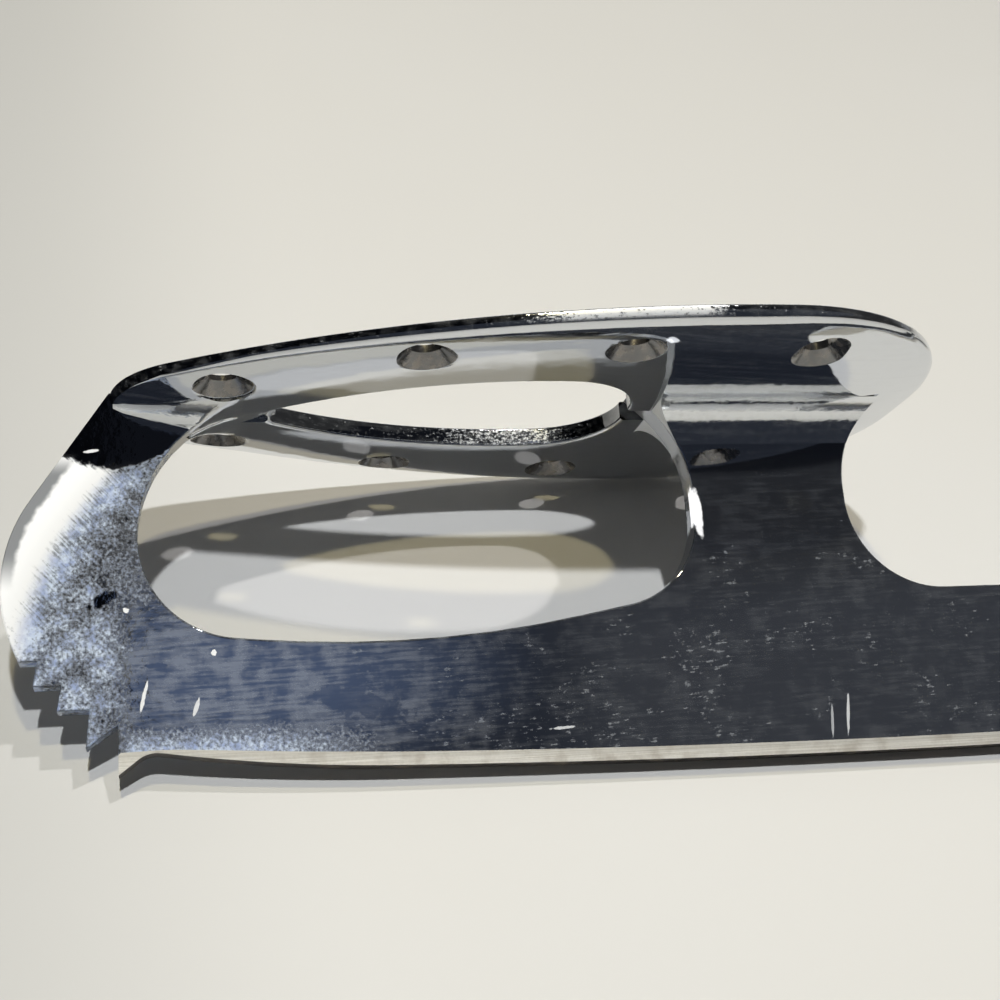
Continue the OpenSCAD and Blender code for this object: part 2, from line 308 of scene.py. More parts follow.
def blankBody(edge):  # everything above the ground strip
    flareH, flareR = blank["flare"]
    soleH, heelH, runnerH, rootR = [blank[key] for key in ("soleH", "heelH", "runnerH", "rootR")]
    top, heelTop, shoulder = soleH + blank["plateT"], heelH + blank["plateT"], blank["shoulder"]
    midRear, heelFront, heelRear = blank["midRear"], blank["heelFront"], blank["heelRear"]
    midTenon = midRear + flareH - shoulder
    heelTenon = (heelFront - flareH + shoulder, heelRear + flareH - shoulder)
    corners = [(x, z, 0.0) for x, z in blank["toePost"]] + blank["loop"]
    corners += [(blank["midTip"], top, 0.0), (midTenon, top, 0.0), (midTenon, soleH, 0.0),
                (midRear + flareH, soleH, 0.0), (midRear, soleH - flareH, flareR),
                (midRear, rockerZ(midRear) + runnerH, rootR)]
    first, step, count = blank["backSpan"]
    span = [midRear + (heelFront - midRear) * (first + step * i) for i in range(count)]
    corners += [(x, rockerZ(x) + runnerH, 0.0) for x in span]
    corners += [(heelFront, rockerZ(heelFront) + runnerH, rootR),
                (heelFront, heelH - flareH, flareR), (heelFront - flareH, heelH, 0.0),
                (heelTenon[0], heelH, 0.0), (heelTenon[0], heelTop, 0.0),
                (heelTenon[1], heelTop, 0.0), (heelTenon[1], heelH, 0.0),
                (heelRear + flareH, heelH, 0.0), (heelRear, heelH - flareH, flareR),
                (heelRear, rockerZ(heelRear) + runnerH, rootR)]
    end, endH, endR = blank["tail"]
    corners.append((end, rockerZ(end) + endH, endR))
    corners += [(p.x, stripZ(p.x), 0.0) for p in edge]
    corners.append((blank["dragTip"][0], blank["dragTip"][1] + blank["dragNotch"], 0.0))
    for i, (x, z) in enumerate(blank["picks"]):
        corners.append((x, z, 0.0))
        if i + 1 < len(blank["picks"]):
            corners.append((x + blank["pickRake"], blank["picks"][i + 1][1], 0.0))
    corners.append(blank["nose"])
    return roundCorners(corners)


def makeBlank():
    edge = blankEdge()
    body = blankBody(edge)
    tops = [Vector((p.x, stripZ(p.x))) for p in edge]
    topAt, bottomAt = nearTo(tops), nearTo(edge)
    half = blank["thickness"] / 2
    piece = ring("blade_blank_plated", [spot(p.x, -half, p.y) for p in body])
    fillRing(piece)

    def find(test, i):
        co = inMm(piece.data.vertices[i].co)
        return test(co.x, co.z)

    pick(piece, "EDGE", lambda e: all(find(topAt, i) is not None for i in e.vertices))
    bpy.ops.mesh.extrude_edges_move()
    leaveEdit()
    for vertex in list(piece.data.vertices)[len(body):]:  # the new edge drops from the strip's top to the ice
        p = edge[find(topAt, vertex.index)]
        vertex.co = spot(p.x, -half, p.y)
    pick(piece, "FACE", lambda face: True)
    for y0, y1 in zip(blank["layers"], blank["layers"][1:]):
        bpy.ops.mesh.extrude_region_move(TRANSFORM_OT_translate={"value": (0, (y1 - y0) * mm, 0)})
    leaveEdit()
    faceOut(piece)
    print("blank: body extruded,", len(piece.data.vertices), "points")

    vertices = piece.data.vertices
    onBottom = [find(bottomAt, v.index) is not None for v in vertices]
    onTop = [find(topAt, v.index) is not None for v in vertices]
    outer = [abs(abs(v.co.y) - half * mm) < 1e-6 for v in vertices]
    sharpDepth = math.sqrt(blank["hollowR"] ** 2 - (half - blank["land"]) ** 2)
    fadeFrom, fadeTo = blank["hollowFrom"]
    for vertex in vertices:
        if not onBottom[vertex.index]:
            continue
        place = inMm(vertex.co)
        if outer[vertex.index]:
            vertex.co.y -= math.copysign(blank["stripTaper"] * mm, vertex.co.y)
            continue
        fade = max(0.0, min(1.0, (place.x - fadeFrom) / (fadeTo - fadeFrom)))
        depth = math.sqrt(blank["hollowR"] ** 2 - place.y ** 2) - sharpDepth
        vertex.co.z += max(0.0, depth) * fade * mm
    for face in piece.data.polygons:  # strip and running surface are bare ground steel
        ids = face.vertices
        if all(onBottom[i] or onTop[i] for i in ids) and any(onBottom[i] for i in ids):
            face.material_index = 1

    def plain(e):  # outline edges on either side, but not the strip's, nor those inside a braze
        a, b = e.vertices
        if not (outer[a] and outer[b]) or vertices[a].co.y * vertices[b].co.y < 0:
            return False
        if onBottom[a] or onBottom[b] or (onTop[a] and onTop[b]):
            return False
        middle = inMm((vertices[a].co + vertices[b].co) / 2)
        sharpFrom = blank["sharpFrom"][0 if middle.x < blank["waist"] else 1]
        return middle.z < sharpFrom

    bevelEdges(piece, plain, blank["edgeRound"], blank["roundSegments"])
    return piece


bladeBlank = makeBlank()
print("blank: edges rounded,", len(bladeBlank.data.polygons), "faces")


# sole plate
sole = {
    "under": 52.8, "thickness": 3.0, "pear": (122.0, 70.8, 89.0, 16.0, 31.5),
    "cut": (21.9, 76.1, 28.0, 60.7, 3.7, 12.0), "slotHalf": 2.06, "slotEnd": 110.0,
    "cutRound": 0.55, "cutSteps": 4,
    "slices": [7.0, 26.3, 33.1, 50.7, 59.3, 80.3, 89.1, 108.3], "rips": [-18.1, -7.7, 7.7, 18.1],
    "holes": [(15.5, 11.4, 0.4), (42.1, 22.7, 0.1), (70.6, 25.8, 0.0)], "slots": [(98.0, 25.3, 0.0)],
    "endShare": [(0.0, 1.2), (22.0, 1.2), (34.0, 0.8), (45.0, 0.45), (60.0, 0.12), (72.0, 0.0), (86.0, 0.0),
                 (97.0, 0.55), (106.0, 1.2), (122.0, 1.2)],  # how far the rim is thinned along the plate
}
screw = {"hole": 4.8, "slotWidth": 4.2, "slotLength": 6.5, "sink": 1.8, "over": 1.0, "points": 48, "lip": 0.16,
         "lipRound": [(0.14, 0.4), (0.6, -0.6)], "flatFrom": 0.95}


def stadium(x, y, z, radius, stretch):  # a round hole, or a slot across the blade
    points = []
    for k in range(screw["points"]):
        a = 2 * math.pi * (k + 0.5) / screw["points"]
        shift = math.copysign(stretch / 2, math.sin(a))
        points.append(spot(x + radius * math.cos(a), y + radius * math.sin(a) + shift, z))
    return points


def countersink(x, y, under, thickness, width, stretch):  # from a soft lip through the cone to the bore
    r, sink, lip, over = width / 2, screw["sink"], screw["lip"], screw["over"]
    steps = [(-over, r + sink + lip + over), (0.0, r + sink + lip)]
    steps += [(up * lip, r + sink + out * lip) for up, out in screw["lipRound"]]
    steps += [(sink, r), (thickness + over, r)]
    return loft("cutter", [stadium(x, y, under + up, wide, stretch) for up, wide in steps])


def drill(plate, holes, slots, under, thickness):
    long = screw["slotLength"] - screw["slotWidth"]
    kinds = [(hole, screw["hole"], 0.0) for hole in holes]
    kinds += [(slot, screw["slotWidth"], long) for slot in slots]
    cutters = []
    for (x, y, lift), width, stretch in kinds:
        cutters += [countersink(x, s * y, under + lift, thickness, width, stretch) for s in (-1, 1)]
    cutWith(plate, joinInto(cutters[0], cutters[1:]))
    for face in plate.data.polygons:  # cones and bores have a duller finish of their own
        at = inMm(face.center)
        for (x, y, lift), width, stretch in kinds:
            reach = width / 2 + screw["sink"]
            inside = math.hypot(at.x - x, max(0.0, abs(abs(at.y) - y) - stretch / 2)) < reach
            if inside and abs(face.normal.z) < screw["flatFrom"]:
                face.material_index = 1


rim = {  # the rolled lower rim: turns in degrees from the wall with their steps, and the radii of the turns
    "turns": [(90, 52, 4), (52, 21, 4), (21, 12, 3), (12, 0, 5)],
    "wide": (1.4, 2.1, 6.0, 20.0), "ends": (1.0, 1.5, 4.0, 45.0), "tip": (1.7, 0.3, 2.4, 45.0),
    "tipShare": [(0.0, 1.0), (9.0, 1.0), (19.0, 0.0), (122.0, 0.0)], "reach": 11.5, "wallFrom": 1.0,
    "topRound": 0.35, "topSteps": 3,
}


def rimProfile(radii):  # (inset, height) pairs from the flat underside out to the wall's foot
    rows, inset, height = [(0.0, 0.0)], 0.0, 0.0
    for (a0, a1, steps), radius in zip(rim["turns"], radii):
        for k in range(steps):
            b0 = math.radians(a0 + (a1 - a0) * k / steps)
            b1 = math.radians(a0 + (a1 - a0) * (k + 1) / steps)
            inset += radius * (math.sin(b0) - math.sin(b1))
            height += radius * (math.cos(b1) - math.cos(b0))
            rows.append((inset, height))
    return [(i, height - h) for i, h in reversed(rows)]


def rimRings(outerAt, inner, under, thickness, shares):  # outlines from the underside up to the boot's side
    outer, deep = outerAt(0.0), outerAt(rim["reach"])
    kinds = [rimProfile(rim[kind]) for kind in ("wide", "ends", "tip")]
    profiles = [[Vector(p) for p in row] for row in zip(*kinds)]
    rings = []
    for k, (wide, ends, tip) in enumerate(profiles):
        row = []
        for p, q in zip(outer, deep):
            toEnds, toTip = shares(p.x)
            inset, up = wide + (ends - wide) * toEnds + (tip - ends) * toTip
            flat = p.lerp(q, inset / rim["reach"])
            row.append(spot(flat.x, flat.y, under + up))
        wall = 0.0 if k == 0 else rim["wallFrom"] + (thickness - 2 * rim["wallFrom"]) * k / len(profiles)
        rings.append(row + [spot(p.x, p.y, under + wall) for p in inner])
    rings.append([spot(p.x, p.y, under + thickness) for p in outer + inner])
    return rings


def softenAlong(piece, points, z, width, segments):  # rounds the edges that lie on the points at one height
    test = nearTo(points)

    def on(i):
        p = inMm(piece.data.vertices[i].co)
        return abs(p.z - z) < 0.01 and test(p.x, p.y) is not None

    bevelEdges(piece, lambda e: all(on(i) for i in e.vertices), width, segments)


def slicePlate(piece, xs, ys):  # cuts the wide flat faces into smaller ones
    cuts = [((x, 0.0), (1, 0, 0)) for x in xs] + [((0.0, y), (0, 1, 0)) for y in ys]
    for (x, y), way in cuts:
        pick(piece, "FACE", lambda face: True)
        bpy.ops.mesh.bisect(plane_co=spot(x, y, 0.0), plane_no=way)
        leaveEdit()


def makeSole():
    gap = sole["slotHalf"]

    def outerAt(inset):
        side = pearHalf(*sole["pear"], inset, gap)
        return side + [Vector((sole["pear"][0] - inset, 0.0))] + acrossFrom(side)

    front, rear, width, wide, noseR, cornerR = sole["cut"]
    half = pearHalf(rear - front, width, wide - front, noseR, cornerR, 0.0, gap)
    inner = [Vector((p.x + front, p.y)) for p in half if p.y > gap - 0.001] + [Vector((rear, gap))]
    end = Vector((sole["slotEnd"], gap))
    far = acrossFrom(inner)[::-1]
    slot = far + [Vector((end.x, -gap)), end] + inner[::-1]
    under, t = sole["under"], sole["thickness"]

    def soleShares(x):
        return lerp(sole["endShare"], x), lerp(rim["tipShare"], x)

    piece = loft("sole_plate_plated", rimRings(outerAt, slot, under, t, soleShares))
    softenAlong(piece, outerAt(0.0), under + t, rim["topRound"], rim["topSteps"])
    for points in (inner, far):
        softenAlong(piece, points, under, sole["cutRound"], sole["cutSteps"])
        softenAlong(piece, points, under + t, rim["topRound"], rim["topSteps"])
    slicePlate(piece, sole["slices"], sole["rips"])
    drill(piece, sole["holes"], sole["slots"], under, t)
    return piece


solePlate = makeSole()
print("sole plate: outline, opening and countersinks,", len(solePlate.data.polygons), "faces")


# heel plate
heel = {
    "under": 64.0, "thickness": 3.0, "rear": 279.4, "pear": (70.0, 58.0, 42.0, 22.0, 9.0),
    "slot": (230.25, 257.75, 2.06), "holes": [(261.4, 16.5, 0.0)], "slots": [(223.4, 20.0, 0.0)],
    "slices": [217.3, 243.1, 251.3, 269.7], "rips": [-10.3, 10.3],
}


def makeHeel():
    def outerAt(inset):
        side = pearHalf(*heel["pear"], inset)
        return [Vector((heel["rear"] - p.x, p.y)) for p in side + acrossFrom(side[1:])]

    under, t = heel["under"], heel["thickness"]
    piece = loft("heel_plate_plated", rimRings(outerAt, [], under, t, lambda x: (0.0, 0.0)))
    softenAlong(piece, outerAt(0.0), under + t, rim["topRound"], rim["topSteps"])
    x0, x1, h = heel["slot"]
    corners = [(x0, -h), (x1, -h), (x1, h), (x0, h)]
    ends = (under - screw["over"], under + t + screw["over"])
    cutWith(piece, loft("cutter", [[spot(x, y, z) for x, y in corners] for z in ends]))
    slicePlate(piece, heel["slices"], heel["rips"])
    drill(piece, heel["holes"], heel["slots"], under, t)
    return piece


heelPlate = makeHeel()
print("heel plate: outline, slot and countersinks,", len(heelPlate.data.polygons), "faces")


# braze fillets, one along each side of each post
braze = {  # sections along each post: place, plate's underside, reach across it, reach down the post, lift at the rim
    "arcSteps": 14, "sunk": 0.06, "over": 12.0, "inward": {"toe": 2.0, "mid": 0.06, "heel": 0.06}, "rimLift": 0.3,
    "toe": [(0.6, 54.3, 1.8, 0.8, 0.5), (2.0, 53.8, 2.6, 1.0, 0.5), (5.0, 53.25, 3.2, 1.3, 0.4),
            (9.0, 52.88, 4.3, 2.1, 0.3), (12.0, 52.82, 5.6, 3.0, 0.2), (15.0, 52.8, 6.8, 3.9, 0.1),
            (19.0, 52.8, 7.4, 4.4, 0.05), (24.0, 52.8, 7.6, 4.6, 0.05)],
    "mid": [(60.0, 52.8, 6.0, 5.4, 0.0), (125.0, 52.8, 6.0, 5.4, 0.0)],
    "heel": [(215.0, 64.0, 6.0, 5.4, 0.0), (275.0, 64.0, 6.0, 5.4, 0.0)],
    "toeEnd": [(-1.5, 54.9), (-1.5, 44.0), (5.0, 43.0), (9.0, 48.1), (10.5, 49.4), (12.0, 50.45), (14.0, 51.5),
               (16.0, 52.25), (18.0, 52.72), (20.0, 53.0), (22.0, 53.4), (23.6, 54.0), (23.6, 54.9)],
    "plugTop": 54.7, "plugStep": (0.03, 0.04),  # fills the slot that the toe post stands in
    "ridge": 0.8, "ridgeSteps": 4, "ridgeAlong": (10.0, 18.0), "ridgeUnder": 52.7, "ridgeTurn": (0.01, 0.15),
    "bite": 4.4, "biteHeights": (50.0, 55.0),
}


def makePostShape(post):  # the outline that a post's fillets end at, drawn out sideways
    flat = [Vector(p) for p in braze["toeEnd"]] if post == "toe" else blankBody(blankEdge())
    return loft("postShape", [[spot(p.x, y, p.y) for p in flat] for y in (-braze["over"], braze["over"])])


def filletSection(x, height, w, d, lift, hand, inward):  # a hollow round that meets the plate's underside flush
    r = (w * w + d * d) / (2 * d)
    outline = [(-inward, braze["sunk"]), (w, braze["sunk"] + lift + braze["rimLift"] * d * lift)]
    if inward == braze["inward"]["toe"]:
        plug = braze["plugTop"] - height
        top, foot = braze["plugStep"]
        outline = [(-inward, plug), (top, plug), (foot, braze["sunk"] + lift)] + outline[1:]
    for i in range(braze["arcSteps"] + 1):
        a = math.asin(min(1.0, w / r)) * i / braze["arcSteps"]
        y = w - r * math.sin(a)
        outline.append((y, lift * max(0.0, y / w) ** 2 - r * (1 - math.cos(a))))
    outline.append((-inward, -d))
    return [spot(x, hand * (blank["thickness"] / 2 + y), height + z) for y, z in outline]


def makeBraze(name, post, hand):
    piece = loft(name, [filletSection(*section, hand, braze["inward"][post]) for section in braze[post]])
    cutWith(piece, makePostShape(post), "INTERSECT")
    if post == "toe":  # rounded ridge beside the loop, and the front countersink bites into it
        faces = {}
        for face in piece.data.polygons:
            for key in face.edge_keys:
                faces.setdefault(key, []).append(abs(face.normal.y))

        def onRidge(edge):
            sides = sorted(faces[edge.key])
            a, b = [piece.data.vertices[i].co for i in edge.vertices]
            middle = inMm((a + b) / 2)
            (front, rear), (level, turned) = braze["ridgeAlong"], braze["ridgeTurn"]
            turns = len(sides) == 2 and sides[0] < level and sides[1] > turned
            return turns and front < middle.x < rear and middle.z < braze["ridgeUnder"]

        bevelEdges(piece, onRidge, braze["ridge"], braze["ridgeSteps"])
        x, y = sole["holes"][0][:2]
        cutWith(piece, loft("cutter", [stadium(x, hand * y, z, braze["bite"], 0.0) for z in braze["biteHeights"]]))
    return piece


fillets = {}
for post in ("toe", "mid", "heel"):
    for sideName, hand in (("left", -1), ("right", 1)):
        node = f"{post}_braze_{sideName}"
        fillets[node] = makeBraze(node + "_plated", post, hand)
print("braze fillets:", len(fillets))


# finishes
def isSocket(value):
    return isinstance(value, bpy.types.NodeSocket)


def give(socket, value):
    if isSocket(value):
        socket.id_data.links.new(value, socket)
    else:
        socket.default_value = value


def addNode(kind, inputs, tree=None, **values):  # a shader node in its own inputs' tree, if no other is named
    tree = tree or next(value.id_data for value in inputs.values() if isSocket(value))
    node = tree.nodes.new("ShaderNode" + kind)
    for key, value in values.items():
        setattr(node, key, value)
    for key, value in inputs.items():
        give(node.inputs[key], value)
    return node


def calc(operation, *values):
    return addNode("Math", dict(enumerate(values)), operation=operation).outputs[0]


def minus(first, second):
    return calc("SUBTRACT", first, second)


def most(first, second):
    return calc("MAXIMUM", first, second)


def scaled(value, gain, shift):
    return calc("MULTIPLY_ADD", value, gain, shift)


def times(*values):
    product = values[0]
    for value in values[1:]:
        product = calc("MULTIPLY", product, value)
    return product


def lengthOf(u, w):
    return calc("SQRT", calc("ADD", times(u, u), times(w, w)))


def mixValues(share, first, second):
    return addNode("Mix", {"Factor": share, 2: first, 3: second}, data_type="FLOAT").outputs[0]


def ramp(value, fromLow, fromHigh, toLow=0.0, toHigh=1.0):
    names = ("Value", "From Min", "From Max", "To Min", "To Max")
    inputs = dict(zip(names, (value, fromLow, fromHigh, toLow, toHigh)))
    return addNode("MapRange", inputs, interpolation_type="SMOOTHSTEP", clamp=True).outputs["Result"]


def ramps(look, *rows):  # a look's ramps, where a row is a value and the names of its ramps
    return [ramp(row[0], *look[name]) for row in rows for name in row[1:]]


def blend(share, first, second):
    node = addNode("Mix", {"Factor": share}, data_type="RGBA")
    for key, value in ((6, first), (7, second)):
        give(node.inputs[key], value if isSocket(value) else (*value, 1))
    return node.outputs[2]


def noiseAt(vector, scale, detail=2.0, rough=0.5):
    inputs = {"Vector": vector, "Scale": scale, "Detail": detail, "Roughness": rough}
    return addNode("TexNoise", inputs).outputs[0]


def cloudAt(vector, scale, detail, *limits):  # noise between two limits
    return ramp(noiseAt(vector, scale, detail), *limits)


def axesOf(vector):
    return addNode("SeparateXYZ", {"Vector": vector}).outputs


def facingOf(shader):  # the way that its face looks, as x, y and z
    return axesOf(addNode("NewGeometry", {}, shader.id_data).outputs["Normal"])


def startGroup(name, *labels):  # takes a vector and some values, and gives a mask
    tree = bpy.data.node_groups.new(name, "ShaderNodeTree")
    sockets = [("Vector", "INPUT", "Vector")] + [(label, "INPUT", "Float") for label in labels]
    for label, way, kind in sockets + [("Mask", "OUTPUT", "Float")]:
        tree.interface.new_socket(name=label, in_out=way, socket_type="NodeSocket" + kind)
    given, result = [tree.nodes.new(kind) for kind in ("NodeGroupInput", "NodeGroupOutput")]
    return tree, given.outputs, result.inputs["Mask"]


def turnedFace(vector, turn):  # the side's x and z, turned in its plane by some degrees
    angle = calc("RADIANS", turn)
    spin = addNode("VectorRotate", {"Vector": vector, "Angle": angle}, rotation_type="Y_AXIS")
    return axesOf(spin.outputs[0])


def makeSpread():  # marks that grow from scattered streaks to a closed haze as the level rises
    tree, given, result = startGroup("markSpread", "Turn", "Long", "Short", "Grain", "Mix", "Level", "Soft")
    face = turnedFace(given["Vector"], given["Turn"])
    along, up = calc("DIVIDE", face[0], given["Long"]), calc("DIVIDE", face[2], given["Short"])
    streak = noiseAt(addNode("CombineXYZ", {0: along, 1: face[1], 2: up}).outputs[0], 1.0)
    grain = noiseAt(given["Vector"], calc("DIVIDE", 1.0, given["Grain"]), 4.0, 0.6)
    mixed = mixValues(given["Mix"], streak, grain)
    even = scaled(mixed, 2.4, -0.7)  # spreads noise over about 0 to 1
    bar = minus(1.0, given["Level"])
    give(result, ramp(even, minus(bar, given["Soft"]), calc("ADD", bar, given["Soft"])))
    return tree


def makeSpotMask():  # one soft-edged mark on the side, with a ragged outline
    tree, given, result = startGroup("spotMask", "X", "Z", "Half X", "Half Z", "Turn", "Ragged", "Grain")
    centre = addNode("CombineXYZ", {0: given["X"], 2: given["Z"]}).outputs[0]
    moved = addNode("VectorMath", {0: given["Vector"], 1: centre}, operation="SUBTRACT").outputs[0]
    face = turnedFace(moved, given["Turn"])
    u = calc("DIVIDE", face[0], given["Half X"])
    w = calc("DIVIDE", face[2], given["Half Z"])
    away = lengthOf(u, w)
    rough = noiseAt(given["Vector"], calc("DIVIDE", 1.0, given["Grain"]), 3.0)
    worn = scaled(minus(rough, 0.5), times(given["Ragged"], 4.0), away)
    give(result, ramp(worn, 1.1, 0.8))
    return tree


markSpread, spotMask = makeSpread(), makeSpotMask()


def useGroup(tree, **inputs):  # a group's mask
    given = {key.replace("_", " "): value for key, value in inputs.items()}
    return addNode("Group", given, node_tree=tree).outputs["Mask"]


def startMetal(name):  # a material with the side's coordinates in mm
    material = bpy.data.materials.new(name)
    material.use_nodes = True
    tree = material.node_tree
    place = addNode("TexCoord", {}, tree).outputs["Object"]
    toMm = {"Vector": place, "Scale": (1 / mm,) * 3, "Location": rowOrigin}
    return material, tree.nodes["Principled BSDF"], addNode("Mapping", toMm).outputs[0]


def feed(shader, **values):
    for key, value in values.items():
        give(shader.inputs[key.replace("_", " ")], value)


def polish(shader, dull, worn, look, bare=None):  # bright metal that loses its shine where it is dull
    feed(shader, Base_Color=blend(dull, look["bare"] if bare is None else bare, worn),
         Metallic=scaled(dull, -look["lessMetal"], 1.0), Roughness=scaled(dull, *look["rough"]))


def dent(shader, height, look):
    strength, depth = look["dent"]
    feed(shader, Normal=addNode("Bump", {"Strength": strength, "Distance": depth, "Height": height}).outputs[0])


sideMarks = {  # x, z, half x, half z, turn, ragged, grain, strength on the near side
    "bright": [
        (4.3, 12.3, 0.26, 2.5, -14, 0.25, 0.8, 0.95), (11.2, 10.6, 0.3, 1.5, -20, 0.3, 0.8, 0.85),
        (102.3, 4.6, 0.22, 2.6, -6, 0.1, 1.0, 0.6), (104.9, 5.6, 0.25, 3.1, -8, 0.2, 1.0, 0.75),
        (61.8, 5.5, 1.8, 0.22, 3, 0.3, 0.6, 0.75),
        (-2.4, 47.2, 1.1, 0.25, 8, 0.2, 0.5, 0.95),
        (13.7, 18.0, 0.4, 0.42, 0, 0.3, 0.5, 1.0), (2.1, 24.3, 0.45, 0.4, 0, 0.4, 0.5, 1.0),
    ],
    # painted glint: a white spot on the loop's rear edge that glows, standing in for a lamp's reflection
    "paintedGlint": [(85.3, 36.9, 0.75, 4.0, 3, 0.16, 0.8, 1.0)],
    "dark": [
        (-1.0, 25.9, 2.0, 0.9, 30, 0.4, 0.8, 1.0), (5.9, 16.5, 1.7, 0.35, 3, 0.4, 0.7, 1.0),
        (33.0, 10.2, 6.4, 1.9, -12, 0.7, 1.2, 0.8),
    ],
}
# a ramp is written as from, to, value before and value after, in mm along or up the side
toe = {  # dried bloom on the toe, thick in front of an edge that curves over the height; its glare is a painted highlight
    "edgeFrom": 20.0, "edge": (-14.0, 0.143, 0.01565),
    "solid": (-2.0, 3.0, 1.6, 0.78), "broken": (3.0, 9.0, 1.0, 0.55),
    "low": (-12.5, -7.0, 1.0, 0.5), "post": (21.0, 28.0), "patch": (0.3, 1.0), "patchGain": (1.1, -0.55),
    "patchFrom": (0.0, 4.0), "back": (-1.0, 5.0, 1.0, 0.0), "backTop": (22.0, 27.0),
    "footTop": (4.4, 10.0, 0.8, 0.0), "footFrom": (0.0, 3.0), "footTo": (14.0, 46.0, 1.0, 0.0),
    "topAt": (0.5, 44.4), "topCurve": 0.045, "topNoise": 0.9, "topWander": (1.4, -0.7), "topSoft": (0.7, -0.8),
    "loop": (16.0, 11.0), "loopTop": (26.0, 20.0),
    "specks": (1.0, 7.0, 0.35, 0.85), "lowSpecks": (28.0, 21.0, 0.0, 0.85),
    "brush": {"Turn": -48.0, "Long": 4.5, "Short": 0.32, "Grain": 0.5, "Soft": 0.52}, "thin": (0.0, 0.3),
    "tideLine": (0.4, 0.1), "tideGaps": (1.3, 2.0, 0.42, 0.6), "tideFrom": (-2.5, 0.0), "tideTo": (10.0, 8.0),
    "tide": 0.75, "paintedGlareFrom": (1.5, -3.0), "paintedGlare": 0.12,
}
nose = {  # bare strip along the nose's edge, which is a line above and an arc below
    "line": (-17.5, 30.0, 0.827, -0.561), "arc": (7.59, 27.8, 22.0), "join": (39.0, 41.0),
    "noise": 0.5, "wander": (1.2, -0.6), "width": (2.0, 1.2), "low": (27.0, 33.0), "high": (47.0, 43.5),
    "back": (4.0, 0.0), "colour": (0.34, 0.35, 0.36), "dull": 0.5, "bloomLost": -0.25,
}
film = {  # lengthwise wiping film, flecks in patches and low down, and a thin veil behind the loop
    "streaks": {"Turn": 2.0, "Long": 6.0, "Short": 0.5, "Grain": 3.0, "Mix": 0.55, "Soft": 0.28},
    "level": (2.0, 60.0, 0.5, 0.36), "front": (-2.0, 3.0), "strength": (14.0, 66.0, 0.36, 0.05), "top": (46.0, 40.0),
    "flecks": {"Turn": 4.0, "Long": 2.0, "Short": 0.4, "Grain": 0.8, "Mix": 0.5, "Soft": 0.12},
    "patches": (0.1, 2.0, 0.4, 0.7, 0.05, 0.3), "strewnTop": (11.0, 8.0), "strewnFrom": (34.0, 44.0),
    "strewnTo": (84.0, 70.0), "strewn": 0.27, "fleckTop": (42.0, 36.0), "fleck": 0.36,
    "veilAlong": (56.0, 74.0, 0.0, 0.036), "veilTop": (48.0, 42.0),
}
chrome = {  # the blank's plating, the colours of what lies on it, and a painted highlight at the toe
    "bare": (0.6, 0.62, 0.66), "tint": (0.8, 3.0, 0.35, 0.65), "wash": ((0.7, 0.79, 0.93), (0.36, 0.44, 0.68)),
    "thinAlong": (40.0, 66.0), "thin": ((0.16, 0.23, 0.36), (0.3, 0.33, 0.36)), "thick": (0.3, 1.0),
    "highlightWidth": 5.0, "whiten": (0.2, 0.9),
    "flareTurn": (-0.4, -0.7), "flareAlong": (70.0, 75.0), "flareUp": (34.0, 44.0), "flareDull": 0.55,
    "flare": (0.66, 0.66, 0.65), "lessMetal": 0.88, "rough": (0.04, 0.02),
    "wave": (0.9, 3.0), "waveAlong": (-5.0, 30.0, 0.6, 0.08), "raised": 0.15, "dent": (0.12, 0.0003),
}


def toeBloom(vector, x, z):  # solid along the nose, then streaks and, towards the loop, specks
    up = minus(z, toe["edgeFrom"])
    c0, c1, c2 = toe["edge"]
    edge = scaled(scaled(up, c2, c1), up, c0)
    behind = minus(x, edge)
    patch = scaled(noiseAt(vector, *toe["patch"]), *toe["patchGain"])
    level = times(*ramps(toe, (behind, "solid", "broken")))
    lowLevel = ramp(x, *toe["low"])
    level = mixValues(ramp(z, *toe["post"]), lowLevel, level)
    level = scaled(patch, ramp(behind, *toe["patchFrom"]), level)
    level = times(level, most(*ramps(toe, (x, "back"), (z, "backTop"))))
    foot = times(*ramps(toe, (z, "footTop"), (x, "footFrom", "footTo")))
    level = most(level, foot)
    topX, topZ = toe["topAt"]
    aside = minus(x, topX)
    topEdge = scaled(times(aside, aside), toe["topCurve"], topZ)
    wander = scaled(noiseAt(vector, toe["topNoise"]), *toe["topWander"])
    over = minus(z, calc("ADD", topEdge, wander))
    level = times(level, ramp(over, *toe["topSoft"]), most(*ramps(toe, (x, "loop"), (z, "loopTop"))))
    speckle = most(*ramps(toe, (behind, "specks"), (z, "lowSpecks")))
    brush = useGroup(markSpread, Vector=vector, Mix=speckle, Level=level, **toe["brush"])
    bloom = times(brush, ramp(level, *toe["thin"]))
    line = ramp(calc("ABSOLUTE", over), *toe["tideLine"])
    tide = times(line, cloudAt(vector, *toe["tideGaps"]), *ramps(toe, (x, "tideFrom", "tideTo")), toe["tide"])
    return most(bloom, tide), behind


def noseStrip(vector, x, z):
    lineX, lineZ, nx, nz = nose["line"]
    fromLine = calc("ADD", times(minus(x, lineX), nx), times(minus(z, lineZ), nz))
    arcX, arcZ, arcR = nose["arc"]
    dx, dz = minus(x, arcX), minus(z, arcZ)
    fromArc = minus(arcR, lengthOf(dx, dz))
    fromEdge = mixValues(ramp(z, *nose["join"]), fromArc, fromLine)
    gain, shift = nose["wander"]
    wander = scaled(noiseAt(vector, nose["noise"]), gain, calc("ADD", fromEdge, shift))
    return times(*ramps(nose, (wander, "width"), (z, "low", "high"), (x, "back")))


